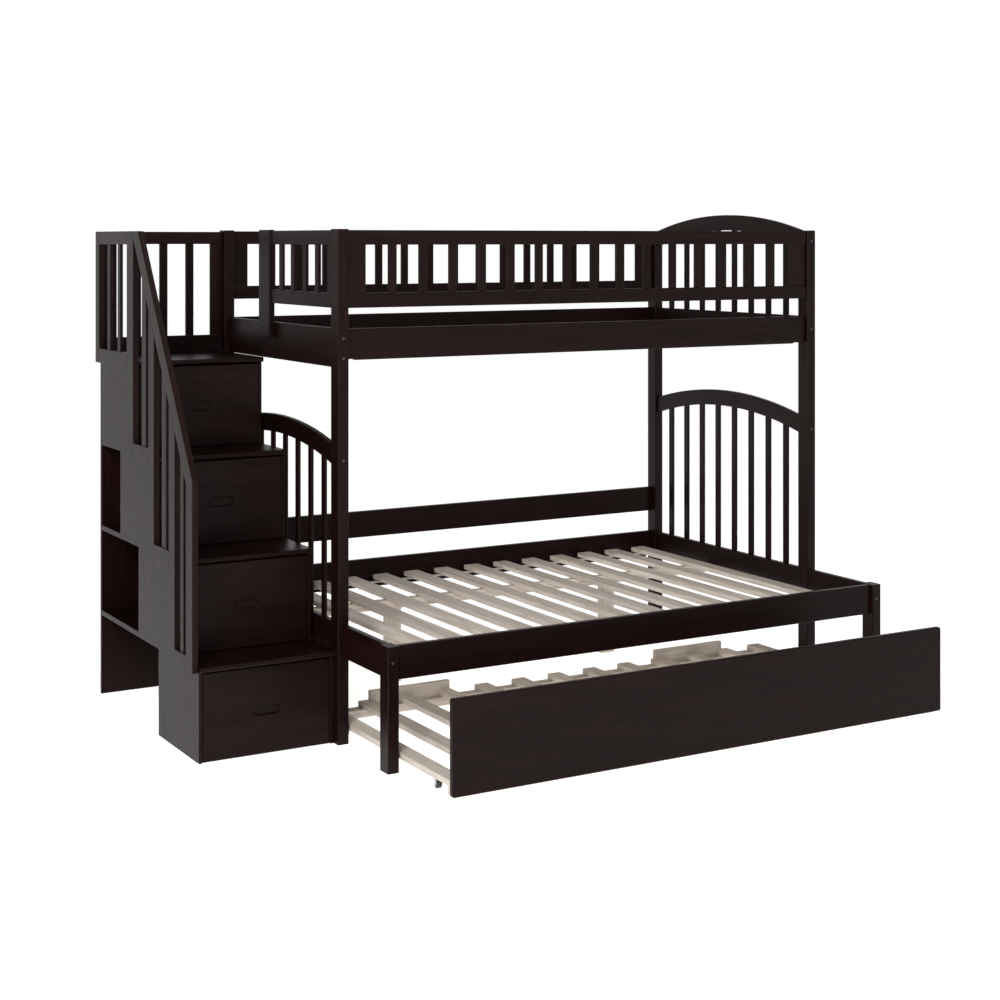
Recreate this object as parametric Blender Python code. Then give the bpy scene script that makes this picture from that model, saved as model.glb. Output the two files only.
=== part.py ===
"""Twin over full bunk bed with a storage staircase and a roll-out trundle.

Coordinates of the design: X runs along the bed from the outer face of the left tall posts,
Y runs back from the front face of the front tall posts, Z is height above the floor.
Everything hangs from one empty that moves the origin to the middle of the footprint.
"""
import math

import bmesh
import bpy
from mathutils import Vector

# ---------------------------------------------------------------- driving dimensions (metres)
GAP = 0.0003               # clearance between pieces that touch
EASE = 0.002               # eased edge of a sawn board
GLUE_BITE = 0.001          # overlap of boards that become one glued piece

BED_LENGTH = 2.060         # outer face to outer face of the tall posts
TWIN_DEPTH = 1.0925        # front face of front post to back face of back post
FULL_REACH = 0.3737        # how far the lower bed stands out in front of the tall posts
POST_X = 0.0394
POST_Y = 0.0592
POST_TOP = 1.7296
POST_SPLIT = 1.000         # where the upper bunk lifts off the lower bed
LEG_PROUD = 0.0016         # the short legs end this much above their rails
RAIL = 0.0225              # thickness of the bed rails
RAIL_INSET = 0.0142        # front rails sit this far behind the face of their post
END_INSET = 0.0153         # end rails sit this far inside the outer face of their post
BACK_INSET = 0.003         # back rails sit this far inside the back face of their post

LOWER_RAIL = (0.2925, 0.4004)
LOWER_DECK_TOP = 0.3375
BACK_BOARD = (0.4912, 0.5951)
UPPER_RAIL = (1.2909, 1.3934)
UPPER_LEFT_END_RAIL = (1.2610, 1.3934)
UPPER_DECK_TOP = 1.3304

SLAT_COUNT = 14
SLAT_WIDTH = 0.064
SLAT_PITCH = 0.1405
SLAT_THICK = 0.018
STRAP_WIDTH = 0.030
STRAP_THICK = 0.0015
CLEAT_WIDTH = 0.022
CLEAT_HEIGHT = 0.025

SUPPORT_BEAM_Y = (0.660, 0.690)
SUPPORT_BEAM_HEIGHT = 0.034
SUPPORT_LEG_X = 0.490      # legs stand this far either side of the middle
SUPPORT_LEG = (0.064, 0.027)

ARCH_RISE = 0.065
ARCH_DEPTH = 0.064
ARCH_THICK = 0.020
ARCH_SEGMENTS = 24
LOWER_ARCH_END = 0.996
UPPER_ARCH_END = 1.7315
END_SLATS = 8
END_SLAT_WIDTH = 0.0304
END_SLAT_THICK = 0.0094

GUARD_TOP = (1.6766, 1.7261)
GUARD_LOW = (1.4632, 1.5132)
GUARD_THICK = 0.020
GUARD_INSET = 0.0060       # outer face of a side guard behind the outer face of the posts
GUARD_BACK_INSET = 0.0083
GUARD_END_BOARD = 0.0684
GUARD_RIGHT_BOARD = 0.0804 # the board at the right end is a little wider
SPINDLES = 15
SPINDLE_WIDTH = 0.0311
SPINDLE_THICK = 0.0111
BITE = 0.010               # how far a spindle is let into its rails

ENTRY_POST_X = (-0.0070, 0.0150)
ENTRY_POST_Y = (0.5773, 0.6786)
ENTRY_POST_BOTTOM = 1.339
ENTRY_SPINDLES = 4
ENTRY_PITCH = 0.1043
ENTRY_FIRST = 0.5149       # back edge of the first spindle

STAIR_LEFT = -0.478
STAIR_RIGHT = -0.0005
STAIR_SIDE = 0.012
PARTITION = 0.012
STEP_FRONT = (0.0336, 0.2192, 0.4456, 0.6651)
STEP_BACK = (0.4220, 0.6326, 0.8357, 1.0577)
TREAD_FIRST = 0.3125
TREAD_RISE = 0.3170
TREAD_THICK = 0.018
NOSING = 0.020
STAIR_BACK = (1.0580, 1.0730)

DRAWER_FRONT_THICK = 0.018
DRAWER_SIDE_CLEARANCE = 0.002
DRAWER_TOP_CLEARANCE = 0.006
DRAWER_FOOT_CLEARANCE = 0.002
DRAWER_BOX_CLEARANCE = 0.008
DRAWER_BOX_HEIGHT = 0.190
DRAWER_BOX_LIFT = 0.014
DRAWER_BOX_DEPTH = 0.340
DRAWER_WALL = 0.012
DRAWER_BOTTOM = 0.006
PULL_LENGTH = 0.092
PULL_HEIGHT = 0.032
PULL_DEPTH = 0.011
PULL_SEGMENTS = 8

RAILING_X = (-0.5000, -0.4783)
RAILING_TOP = 1.7235
RAILING_POST = (0.6304, 0.7026)
RAILING_BACK = 1.0666
RAILING_BACK_STILE = 0.044
RAILING_LEVEL_RAILS = ((1.2375, 1.2904), (1.6766, 1.7235))
NEWEL = (0.0377, 0.0971)
NEWEL_BOTTOM = 0.2920
SLOPE = 1.5
SLOPE_AT_NEWEL = 0.9140    # top of the sloping rail over the newel's front face
SLOPE_RAIL_DEPTH = 0.1067  # measured upright
STILES = ((0.4110, 0.4664), (0.2040, 0.2611))
BALUSTERS = ((0.5075, 0.5515), (0.3010, 0.3450), (0.1323, 0.1634))
SECTION_RAILS = ((0.9146, 0.9780), (0.5858, 0.6560), (NEWEL_BOTTOM, 0.3400))

BACK_GUARD = (1.0580, 1.0780)
BACK_GUARD_LOW_TOP = 1.3273
BACK_GUARD_TOP_RAIL = 1.6766
BACK_GUARD_RIGHT_STILE = 0.048
BACK_GUARD_LEFT_STILE = 0.060
BACK_GUARD_SPINDLES = 3
BACK_GUARD_FIRST = -0.1156  # right edge of the first spindle
BACK_GUARD_PITCH = 0.1039

TRUNDLE_X = (0.0312, 2.0060)
TRUNDLE_FRONT = -0.7430
TRUNDLE_PANEL_THICK = 0.020
TRUNDLE_PANEL = (0.0206, 0.3172)
TRUNDLE_PANEL_CORNER = 0.008
TRUNDLE_BACK = 0.2750
TRUNDLE_SLATS = 13
TRUNDLE_SLAT_WIDTH = 0.055
TRUNDLE_SLAT_PITCH = 0.1574
TRUNDLE_SLAT = (0.0410, 0.0610)
TRUNDLE_BEAM = (0.0120, 0.0415)
TRUNDLE_BEAM_WIDTH = 0.045
TRUNDLE_STOP = (0.2435, 0.5637)
TRUNDLE_STOP_TOP = 0.095
TRUNDLE_STOP_THICK = 0.018
WHEEL_RADIUS = 0.015
WHEEL_WIDTH = 0.016
WHEEL_Y = (-0.570, 0.100)
WHEEL_SEGMENTS = 24
FORK = (0.0020, 0.014, 0.0100)  # cheek thickness, cheek width, height of its lower end
FORK_CLEARANCE = 0.0010

MIDDLE_X = BED_LENGTH / 2
ORIGIN_SHIFT = Vector((-(RAILING_X[0] + BED_LENGTH) / 2, -(TRUNDLE_FRONT + TWIN_DEPTH) / 2, 0.0))

LEFT_POST_X = (0.0, POST_X)
RIGHT_POST_X = (BED_LENGTH - POST_X, BED_LENGTH)
FRONT_POST_Y = (0.0, POST_Y)
BACK_POST_Y = (TWIN_DEPTH - POST_Y, TWIN_DEPTH)
SHORT_LEG_Y = (-FULL_REACH, -FULL_REACH + POST_Y)
LEFT_END_X = (END_INSET, END_INSET + RAIL)
RIGHT_END_X = (BED_LENGTH - END_INSET - RAIL, BED_LENGTH - END_INSET)
BACK_RAIL_Y = (TWIN_DEPTH - BACK_INSET - RAIL, TWIN_DEPTH - BACK_INSET)

# colour, roughness
FINISHES = {
    "espresso_wood": ((0.016, 0.010, 0.009), 0.38),
    "pine_wood": ((0.56, 0.45, 0.34), 0.60),
    "caster_plastic": ((0.02, 0.02, 0.02), 0.45),
}


# ---------------------------------------------------------------- building blocks
def clear_scene():
    for thing in list(bpy.data.objects):
        bpy.data.objects.remove(thing, do_unlink=True)


def own_material(name, finish):
    colour, roughness = FINISHES[finish]
    material = bpy.data.materials.new(name + "_" + finish)
    material.use_nodes = True
    shader = material.node_tree.nodes["Principled BSDF"]
    shader.inputs["Base Color"].default_value = (*colour, 1.0)
    shader.inputs["Roughness"].default_value = roughness
    shader.inputs["Metallic"].default_value = 0.0
    return material


def place(name, mesh, centre, finish):
    thing = bpy.data.objects.new(name, mesh)
    bpy.context.scene.collection.objects.link(thing)
    thing.parent = frame
    thing.location = centre
    mesh.materials.clear()
    mesh.materials.append(own_material(name, finish))
    return thing


def box_mesh(name, size, ease, upright_only):
    """A board around its own middle, with every edge or only the upright ones eased."""
    shape = bmesh.new()
    bmesh.ops.create_cube(shape, size=1.0)
    bmesh.ops.scale(shape, vec=size, verts=shape.verts)
    eased = shape.edges[:]
    if upright_only:
        eased = [edge for edge in eased if abs(edge.verts[0].co.z - edge.verts[1].co.z) > size[2] / 2]
    if ease:
        bmesh.ops.bevel(shape, geom=eased, offset=ease, segments=1, affect="EDGES")
    mesh = bpy.data.meshes.new(name)
    shape.to_mesh(mesh)
    shape.free()
    return mesh


def board(name, x, y, z, finish="espresso_wood", ease=EASE, upright_only=False):
    """A board that fills the ranges x, y and z."""
    size = Vector((x[1] - x[0], y[1] - y[0], z[1] - z[0]))
    centre = Vector((sum(x) / 2, sum(y) / 2, sum(z) / 2))
    return place(name, box_mesh(name, size, ease, upright_only), centre, finish)


def prism_mesh(name, outline, along, span):
    """An outline pushed along X or Y; its points are (y, z) for X and (x, z) for Y."""
    shape = bmesh.new()
    if along == "X":
        points = [(span[0], a, b) for a, b in outline]
        push = Vector((span[1] - span[0], 0.0, 0.0))
    else:
        points = [(a, span[0], b) for a, b in outline]
        push = Vector((0.0, span[1] - span[0], 0.0))
    face = shape.faces.new([shape.verts.new(point) for point in points])
    pushed = bmesh.ops.extrude_face_region(shape, geom=[face])
    moved = [item for item in pushed["geom"] if isinstance(item, bmesh.types.BMVert)]
    bmesh.ops.translate(shape, vec=push, verts=moved)
    bmesh.ops.recalc_face_normals(shape, faces=shape.faces[:])
    mesh = bpy.data.meshes.new(name)
    shape.to_mesh(mesh)
    shape.free()
    return mesh


def prism(name, outline, along, span, finish="espresso_wood"):
    return place(name, prism_mesh(name, outline, along, span), Vector(), finish)


def glue(name, pieces):
    """Join overlapping pieces into one body that keeps the first piece's place."""
    base = pieces[0]
    base.name = name
    helpers = bpy.data.collections.new(name + "_parts")
    for piece in pieces[1:]:
        helpers.objects.link(piece)
    union = base.modifiers.new("union", "BOOLEAN")
    union.operation = "UNION"
    union.solver = "EXACT"
    union.operand_type = "COLLECTION"
    union.collection = helpers
    bpy.context.view_layer.update()
    evaluated = base.evaluated_get(bpy.context.evaluated_depsgraph_get())
    result = bpy.data.meshes.new_from_object(evaluated)
    material = base.data.materials[0]
    base.modifiers.clear()
    base.data = result
    result.materials.clear()
    result.materials.append(material)
    result.polygons.foreach_set("material_index", [0] * len(result.polygons))
    for piece in pieces[1:]:
        bpy.data.objects.remove(piece, do_unlink=True)
    bpy.data.collections.remove(helpers)
    return base


def shrunk(span, low=GAP, high=GAP):
    return (span[0] + low, span[1] - high)


def centred(middle, width):
    return (middle - width / 2, middle + width / 2)


# ---------------------------------------------------------------- bed frame
def posts():
    corners = {
        "front_left": (LEFT_POST_X, FRONT_POST_Y),
        "front_right": (RIGHT_POST_X, FRONT_POST_Y),
        "back_left": (LEFT_POST_X, BACK_POST_Y),
        "back_right": (RIGHT_POST_X, BACK_POST_Y),
    }
    for corner, (x, y) in corners.items():
        board("post_lower_" + corner, x, y, (0.0, POST_SPLIT), upright_only=True)
        board("post_upper_" + corner, x, y, (POST_SPLIT + GAP, POST_TOP), upright_only=True)
    for side, x in (("left", LEFT_POST_X), ("right", RIGHT_POST_X)):
        board("short_leg_" + side, x, SHORT_LEG_Y, (0.0, LOWER_RAIL[1] + LEG_PROUD), upright_only=True)


def rail_with_cleat(name, y, z, inner, deck_top):
    """A long bed rail with the cleat that carries the slat ends screwed to its inner face."""
    x = shrunk((POST_X, BED_LENGTH - POST_X))
    rail = board(name, x, y, z)
    top = deck_top - SLAT_THICK - STRAP_THICK - GAP
    if inner == y[1]:
        reach = (inner - GLUE_BITE, inner + CLEAT_WIDTH)
    else:
        reach = (inner - CLEAT_WIDTH, inner + GLUE_BITE)
    cleat = board(name + "_cleat", shrunk(x, POST_X, POST_X), reach, (top - CLEAT_HEIGHT, top))
    glue(name, [rail, cleat])


def rails():
    front_y = (-FULL_REACH + RAIL_INSET, -FULL_REACH + RAIL_INSET + RAIL)
    rail_with_cleat("lower_front_rail", front_y, LOWER_RAIL, front_y[1], LOWER_DECK_TOP)
    rail_with_cleat("lower_back_rail", BACK_RAIL_Y, LOWER_RAIL, BACK_RAIL_Y[0], LOWER_DECK_TOP)
    front_y = (RAIL_INSET, RAIL_INSET + RAIL)
    rail_with_cleat("upper_front_rail", front_y, UPPER_RAIL, front_y[1], UPPER_DECK_TOP)
    rail_with_cleat("upper_back_rail", BACK_RAIL_Y, UPPER_RAIL, BACK_RAIL_Y[0], UPPER_DECK_TOP)
    board("lower_back_board", shrunk((POST_X, BED_LENGTH - POST_X)), BACK_RAIL_Y, BACK_BOARD)
    between_tall = shrunk((FRONT_POST_Y[1], BACK_POST_Y[0]))
    to_short = shrunk((SHORT_LEG_Y[1], FRONT_POST_Y[0]))
    for side, x in (("left", LEFT_END_X), ("right", RIGHT_END_X)):
        board("lower_end_rail_" + side, x, between_tall, LOWER_RAIL)
        board("lower_side_rail_" + side, x, to_short, LOWER_RAIL)
    board("upper_end_rail_left", LEFT_END_X, between_tall, UPPER_LEFT_END_RAIL)
    board("upper_end_rail_right", RIGHT_END_X, between_tall, UPPER_RAIL)


def slat_roll(name, y, top):
    """Slats held at their pitch by two thin straps under their ends."""
    straps = []
    first = MIDDLE_X - SLAT_PITCH * (SLAT_COUNT - 1) / 2
    last = MIDDLE_X + SLAT_PITCH * (SLAT_COUNT - 1) / 2
    under = (top - SLAT_THICK - STRAP_THICK, top - SLAT_THICK + 0.0005)
    for middle in (y[0] + 0.060, y[1] - 0.060):
        x = (first - SLAT_WIDTH / 2 + 0.004, last + SLAT_WIDTH / 2 - 0.004)
        straps.append(board(name + "_strap", x, centred(middle, STRAP_WIDTH), under, "pine_wood", ease=0))
    slats = []
    for number in range(SLAT_COUNT):
        x = centred(first + SLAT_PITCH * number, SLAT_WIDTH)
        slats.append(board(name + "_slat", x, y, (top - SLAT_THICK, top), "pine_wood", ease=0))
    glue(name, slats[:1] + straps + slats[1:])


def slats():
    lower_y = (-FULL_REACH + RAIL_INSET + RAIL + 0.003, BACK_RAIL_Y[0] - 0.003)
    slat_roll("lower_slat_roll", lower_y, LOWER_DECK_TOP)
    upper_y = (RAIL_INSET + RAIL + 0.003, BACK_RAIL_Y[0] - 0.003)
    slat_roll("upper_slat_roll", upper_y, UPPER_DECK_TOP)


def center_support():
    """A beam under the lower slats on two legs that stand behind the trundle."""
    top = LOWER_DECK_TOP - SLAT_THICK - STRAP_THICK - GAP
    x = shrunk((LEFT_END_X[1], RIGHT_END_X[0]))
    z = (top - SUPPORT_BEAM_HEIGHT, top)
    pieces = [board("center_support", x, SUPPORT_BEAM_Y, z, "pine_wood", ease=0)]
    for sign in (-1, 1):
        leg_x = centred(MIDDLE_X + sign * SUPPORT_LEG_X, SUPPORT_LEG[0])
        leg_y = centred(sum(SUPPORT_BEAM_Y) / 2, SUPPORT_LEG[1])
        pieces.append(board("center_leg", leg_x, leg_y, (0.0, z[0] + 0.004), "pine_wood", ease=0))
    glue("center_support", pieces)


def arc(radius, low_z, half_chord, segments, middle):
    """Points on an arc over the chord, from low y to high y."""
    lift = math.sqrt(radius ** 2 - half_chord ** 2)
    half_angle = math.asin(half_chord / radius)
    points = []
    for step in range(segments + 1):
        angle = -half_angle + 2 * half_angle * step / segments
        points.append((middle + radius * math.sin(angle), low_z - lift + radius * math.cos(angle)))
    return points


def arch_panel(name, x_middle, end_z, foot_z):
    """An arched top rail with upright slats that stand on the end rail."""
    low = FRONT_POST_Y[1] + GAP
    high = BACK_POST_Y[0] - GAP
    middle = (low + high) / 2
    half = (high - low) / 2
    radius = (half ** 2 + ARCH_RISE ** 2) / (2 * ARCH_RISE)
    inner_radius = radius - ARCH_DEPTH
    centre_z = end_z - math.sqrt(radius ** 2 - half ** 2)
    inner_end = centre_z + math.sqrt(inner_radius ** 2 - half ** 2)
    outline = arc(radius, end_z, half, ARCH_SEGMENTS, middle)
    outline += reversed(arc(inner_radius, inner_end, half, ARCH_SEGMENTS, middle))
    pieces = [prism(name, outline, "X", centred(x_middle, ARCH_THICK))]
    gap = (2 * half - END_SLATS * END_SLAT_WIDTH) / (END_SLATS + 1)
    for number in range(END_SLATS):
        start = low + gap + number * (END_SLAT_WIDTH + gap)
        y = (start, start + END_SLAT_WIDTH)
        offset = abs(sum(y) / 2 - middle)
        head = centre_z + math.sqrt(inner_radius ** 2 - offset ** 2) + BITE
        slat_x = centred(x_middle, END_SLAT_THICK)
        pieces.append(board(name + "_slat", slat_x, y, (foot_z + GAP, head), ease=0))
    glue(name, pieces)


def arch_panels():
    left = POST_X / 2
    right = BED_LENGTH - POST_X / 2
    arch_panel("lower_arch_panel_left", left, LOWER_ARCH_END, LOWER_RAIL[1])
    arch_panel("lower_arch_panel_right", right, LOWER_ARCH_END, LOWER_RAIL[1])
    arch_panel("upper_arch_panel_right", right, UPPER_ARCH_END, UPPER_RAIL[1])


# ---------------------------------------------------------------- upper guards
def side_guard(name, y):
    """Two rails, spindles at an even pitch and a wide board at each end."""
    x = shrunk((POST_X, BED_LENGTH - POST_X))
    thin = centred(sum(y) / 2, SPINDLE_THICK)
    low = board(name, x, y, GUARD_LOW, ease=0)
    pieces = [low, board(name + "_top", x, y, GUARD_TOP, ease=0)]
    tall = (GUARD_LOW[1] - BITE, GUARD_TOP[0] + BITE)
    for end in ((x[0], x[0] + GUARD_END_BOARD), (x[1] - GUARD_RIGHT_BOARD, x[1])):
        pieces.append(board(name + "_end", end, thin, tall, ease=0))
    clear = x[1] - x[0] - 2 * GUARD_END_BOARD - SPINDLES * SPINDLE_WIDTH
    gap = clear / (SPINDLES + 1)
    for number in range(SPINDLES):
        start = x[0] + GUARD_END_BOARD + gap + number * (SPINDLE_WIDTH + gap)
        pieces.append(board(name + "_spindle", (start, start + SPINDLE_WIDTH), thin, tall, ease=0))
    glue(name, pieces)


def entry_guard():
    """The short guard beside the way in, with the stile that laps the end rail."""
    x = (0.0, GUARD_THICK)
    y = (FRONT_POST_Y[1] + GAP, ENTRY_POST_Y[0] + 0.005)
    post = board("entry_guard", ENTRY_POST_X, ENTRY_POST_Y, (ENTRY_POST_BOTTOM, POST_TOP), ease=0)
    pieces = [post]
    pieces.append(board("entry_low", x, y, GUARD_LOW, ease=0))
    pieces.append(board("entry_top", x, y, GUARD_TOP, ease=0))
    thin = centred(GUARD_THICK / 2, SPINDLE_THICK)
    tall = (GUARD_LOW[1] - BITE, GUARD_TOP[0] + BITE)
    for number in range(ENTRY_SPINDLES):
        back = ENTRY_FIRST - number * ENTRY_PITCH
        pieces.append(board("entry_spindle", thin, (back - SPINDLE_WIDTH, back), tall, ease=0))
    end = ENTRY_FIRST - ENTRY_SPINDLES * ENTRY_PITCH
    pieces.append(board("entry_end", thin, (y[0], end), tall, ease=0))
    glue("entry_guard", pieces)


def guards():
    side_guard("upper_guard_front", (GUARD_INSET, GUARD_INSET + GUARD_THICK))
    back = TWIN_DEPTH - GUARD_BACK_INSET
    side_guard("upper_guard_back", (back - GUARD_THICK, back))
    entry_guard()


# ---------------------------------------------------------------- staircase
def tread_top(number):
    return TREAD_FIRST + number * TREAD_RISE


def step_base(number):
    return tread_top(number - 1) if number else 0.0


def bullnose(depth_range, z):
    """Side outline of a tread whose front edge is rounded over."""
    radius = (z[1] - z[0]) / 2
    middle = (z[0] + z[1]) / 2
    points = [(depth_range[1], z[0]), (depth_range[1], z[1])]
    for step in range(7):
        angle = math.pi / 2 + math.pi * step / 6
        depth = depth_range[0] + radius + radius * math.cos(angle)
        points.append((depth, middle + radius * math.sin(angle)))
    return points


def treads():
    """Boards that run back as shelves, let in beside the right side panel."""
    inner = STAIR_RIGHT - STAIR_SIDE - GAP
    for number, front in enumerate(STEP_FRONT):
        z = (tread_top(number) - TREAD_THICK, tread_top(number))
        name = "tread_%d" % (number + 1)
        shelf = (front - GAP - 0.002, STAIR_BACK[0] - GAP)
        base = prism(name, bullnose((front - NOSING, shelf[0]), z), "X", (STAIR_LEFT, STAIR_RIGHT))
        glue(name, [base, board("shelf", (STAIR_LEFT, inner), (shelf[0] - 0.002, shelf[1]), z, ease=0)])


def step_sides():
    for number, front in enumerate(STEP_FRONT):
        z = (step_base(number) + (GAP if number else 0.0), tread_top(number) - TREAD_THICK - GAP)
        left_x = (STAIR_LEFT, STAIR_LEFT + STAIR_SIDE)
        side_y = (front, STEP_BACK[number])
        board("step_side_%d" % (number + 1), left_x, side_y, z, ease=0)
        if number < len(STEP_FRONT) - 1:
            inside_x = (left_x[1] + GAP, STAIR_RIGHT - STAIR_SIDE - GAP)
            back_y = (side_y[1] - PARTITION, side_y[1])
            board("step_partition_%d" % (number + 1), inside_x, back_y, z, ease=0.001)


def stepped_side():
    """One stepped panel closes all four steps on the bed side."""
    outline = [(STAIR_BACK[0] - GAP, 0.0), (STAIR_BACK[0] - GAP, tread_top(len(STEP_FRONT) - 1) - GAP)]
    for number in reversed(range(len(STEP_FRONT))):
        front = STEP_FRONT[number]
        outline.append((front, tread_top(number) - GAP))
        outline.append((front, step_base(number) - GAP if number else 0.0))
    prism("stair_side_right", outline, "X", (STAIR_RIGHT - STAIR_SIDE, STAIR_RIGHT))


def stair_back():
    top = tread_top(len(STEP_FRONT) - 1)
    board("stair_back_panel", (STAIR_LEFT, STAIR_RIGHT), STAIR_BACK, (0.0, top), ease=0.001)


def slope_top(y):
    return SLOPE_AT_NEWEL + SLOPE * (y - NEWEL[0])


def stair_railing():
    """Level guard beside the top step and the sloping handrail with its balusters."""
    post_y = RAILING_POST
    thin = centred(sum(RAILING_X) / 2, SPINDLE_THICK)
    lap = 0.006
    top_y = NEWEL[0] + (RAILING_TOP - SLOPE_AT_NEWEL) / SLOPE
    low_y = post_y[0] + 0.004
    outline = [
        (NEWEL[0], slope_top(NEWEL[0])),
        (NEWEL[0], slope_top(NEWEL[0]) - SLOPE_RAIL_DEPTH),
        (low_y, slope_top(low_y) - SLOPE_RAIL_DEPTH),
        (low_y, RAILING_TOP),
        (top_y, RAILING_TOP),
    ]
    pieces = [prism("stair_railing", outline, "X", RAILING_X)]
    pieces.append(board("railing_post", RAILING_X, post_y, (SECTION_RAILS[0][0], RAILING_TOP), ease=0))
    newel_top = slope_top(NEWEL[1]) - SLOPE_RAIL_DEPTH + 0.004
    pieces.append(board("railing_newel", RAILING_X, NEWEL, (NEWEL_BOTTOM, newel_top), ease=0))
    for stile, section in zip(STILES, SECTION_RAILS[1:]):
        head = slope_top(stile[0]) - SLOPE_RAIL_DEPTH / 2
        pieces.append(board("railing_stile", RAILING_X, stile, (section[0], head), ease=0))
    starts = (post_y[0], STILES[0][0], STILES[1][0])
    ends = (STILES[0][1], STILES[1][1], NEWEL[1])
    for start, end, section in zip(starts, ends, SECTION_RAILS):
        y = (end - lap, start + lap)
        pieces.append(board("railing_foot", RAILING_X, y, section, ease=0))
    for y, section in zip(BALUSTERS, SECTION_RAILS):
        head = slope_top(y[0]) - SLOPE_RAIL_DEPTH / 2
        pieces.append(board("railing_baluster", thin, y, (section[1] - BITE, head), ease=0))
    stile = (RAILING_BACK - RAILING_BACK_STILE, RAILING_BACK)
    level = (RAILING_LEVEL_RAILS[0][0], RAILING_TOP)
    pieces.append(board("railing_back_stile", RAILING_X, stile, level, ease=0))
    for z in RAILING_LEVEL_RAILS:
        y = (post_y[1] - 0.005, stile[0] + 0.005)
        pieces.append(board("railing_level", RAILING_X, y, z, ease=0))
    gap = (stile[0] - post_y[1] - 2 * SPINDLE_WIDTH) / 3
    tall = (RAILING_LEVEL_RAILS[0][1] - BITE, RAILING_LEVEL_RAILS[1][0] + BITE)
    for number in range(2):
        start = post_y[1] + gap + number * (gap + SPINDLE_WIDTH)
        pieces.append(board("railing_spindle", thin, (start, start + SPINDLE_WIDTH), tall, ease=0))
    glue("stair_railing", pieces)


def stair_back_guard():
    x = (STAIR_LEFT, STAIR_RIGHT)
    thin = centred(sum(BACK_GUARD) / 2, SPINDLE_THICK)
    foot = tread_top(len(STEP_FRONT) - 1) + GAP
    pieces = [board("stair_back_guard", x, BACK_GUARD, (foot, BACK_GUARD_LOW_TOP), ease=0)]
    pieces.append(board("guard_top", x, BACK_GUARD, (BACK_GUARD_TOP_RAIL, RAILING_TOP), ease=0))
    tall = (BACK_GUARD_LOW_TOP - BITE, BACK_GUARD_TOP_RAIL + BITE)
    ends = ((x[1] - BACK_GUARD_RIGHT_STILE, x[1]), (x[0], x[0] + BACK_GUARD_LEFT_STILE))
    for end in ends:
        pieces.append(board("guard_stile", end, thin, tall, ease=0))
    for number in range(BACK_GUARD_SPINDLES):
        right = BACK_GUARD_FIRST - number * BACK_GUARD_PITCH
        pieces.append(board("guard_spindle", (right - SPINDLE_WIDTH, right), thin, tall, ease=0))
    glue("stair_back_guard", pieces)


# ---------------------------------------------------------------- drawers
def stadium(middle_x, middle_z):
    """Outline of the recessed pull: a long slot with round ends."""
    radius = PULL_HEIGHT / 2
    reach = PULL_LENGTH / 2 - radius
    points = []
    for side, start in ((1, -math.pi / 2), (-1, math.pi / 2)):
        for step in range(PULL_SEGMENTS + 1):
            angle = start + math.pi * step / PULL_SEGMENTS
            x = middle_x + side * reach + radius * math.cos(angle)
            points.append((x, middle_z + radius * math.sin(angle)))
    return points


def carve(target, cutter):
    cut = target.modifiers.new("cut", "BOOLEAN")
    cut.operation = "DIFFERENCE"
    cut.solver = "EXACT"
    cut.object = cutter
    bpy.context.view_layer.update()
    evaluated = target.evaluated_get(bpy.context.evaluated_depsgraph_get())
    result = bpy.data.meshes.new_from_object(evaluated)
    material = target.data.materials[0]
    target.modifiers.clear()
    target.data = result
    result.materials.clear()
    result.materials.append(material)
    result.polygons.foreach_set("material_index", [0] * len(result.polygons))
    bpy.data.objects.remove(cutter, do_unlink=True)


def drawer_front(number, x, front, base, top):
    z = (base + DRAWER_FOOT_CLEARANCE, top - DRAWER_TOP_CLEARANCE)
    name = "drawer_front_%d" % (number + 1)
    panel = board(name, x, (front, front + DRAWER_FRONT_THICK), z, ease=0.0015)
    outline = stadium(sum(x) / 2, sum(z) / 2)
    pull = prism("pull", outline, "Y", (front - 0.005, front + PULL_DEPTH))
    carve(panel, pull)


def drawer_box(number, x, front, base):
    """Open-topped box of a bottom and four walls behind the front."""
    name = "drawer_box_%d" % (number + 1)
    outer_x = shrunk(x, DRAWER_BOX_CLEARANCE, DRAWER_BOX_CLEARANCE)
    outer_y = (front + DRAWER_FRONT_THICK + GAP, front + DRAWER_FRONT_THICK + DRAWER_BOX_DEPTH)
    outer_z = (base + DRAWER_BOX_LIFT, base + DRAWER_BOX_LIFT + DRAWER_BOX_HEIGHT)
    box = board(name, outer_x, outer_y, outer_z, ease=0)
    room_y = shrunk(outer_y, DRAWER_WALL, DRAWER_WALL)
    room_z = (outer_z[0] + DRAWER_BOTTOM, outer_z[1] + 0.010)
    room = board("room", shrunk(outer_x, DRAWER_WALL, DRAWER_WALL), room_y, room_z, ease=0)
    carve(box, room)


def drawers():
    between_sides = (STAIR_LEFT + STAIR_SIDE, STAIR_RIGHT - STAIR_SIDE)
    inside = shrunk(between_sides, DRAWER_SIDE_CLEARANCE, DRAWER_SIDE_CLEARANCE)
    for number, front in enumerate(STEP_FRONT):
        base = step_base(number)
        drawer_front(number, inside, front, base, tread_top(number) - TREAD_THICK)
        drawer_box(number, inside, front, base)


# ---------------------------------------------------------------- trundle
def trundle_panel():
    radius = TRUNDLE_PANEL_CORNER
    corners = (
        (TRUNDLE_X[1] - radius, TRUNDLE_PANEL[1] - radius, 0.0),
        (TRUNDLE_X[0] + radius, TRUNDLE_PANEL[1] - radius, 0.5),
        (TRUNDLE_X[0] + radius, TRUNDLE_PANEL[0] + radius, 1.0),
        (TRUNDLE_X[1] - radius, TRUNDLE_PANEL[0] + radius, 1.5),
    )
    outline = []
    for x, z, turn in corners:
        for step in range(5):
            angle = math.pi * (turn + step / 8)
            outline.append((x + radius * math.cos(angle), z + radius * math.sin(angle)))
    span = (TRUNDLE_FRONT, TRUNDLE_FRONT + TRUNDLE_PANEL_THICK)
    prism("trundle_front_panel", outline, "Y", span)


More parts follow.
